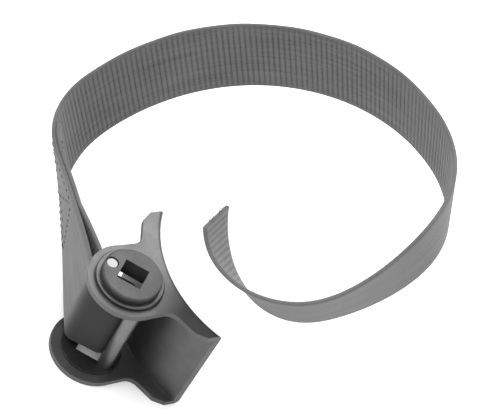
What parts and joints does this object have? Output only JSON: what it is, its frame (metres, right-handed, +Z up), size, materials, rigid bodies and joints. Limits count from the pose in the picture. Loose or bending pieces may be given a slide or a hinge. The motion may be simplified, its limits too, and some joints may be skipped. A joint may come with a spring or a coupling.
{
  "type": "oil filter wrench",
  "caption": "Strap wrench for oil filters: a webbing loop fed through a square-drive spool in a pressed steel saddle bracket.",
  "frame": {"origin": "on the spool's axis at the underside of the bracket's lower plate", "axes": "+Z up along the spool's axis to the drive head; +Y from the spool to the hollow of the saddle; +X across the bracket"},
  "size_m": [0.1939, 0.2106, 0.1428],
  "materials": {
    "bracket_steel": "pressed mild steel, dull plated",
    "spool_steel": "turned steel, satin",
    "ring_steel": "spring steel, dull",
    "bright_rod": "drawn bright steel rod",
    "webbing": "heavy woven webbing, grey",
    "thread": "bonded sewing thread, dark"
  },
  "bodies": {
    "frame": {"bracket": "bracket_steel", "strap_loop": "webbing", "strap_fold": "webbing", "stitching": "thread"},
    "spool": {"drive_head": "spool_steel", "foot_disc": "spool_steel", "retaining_ring": "ring_steel", "strap_pin": "bright_rod", "grip_pin": "bright_rod", "strap_eye": "webbing"}
  },
  "joints": [
    {"name": "spindle", "type": "hinge", "parent": "frame", "child": "spool", "pos_m": [0, 0, 0], "axis": [0, 0, 1], "continuous": true}
  ]
}
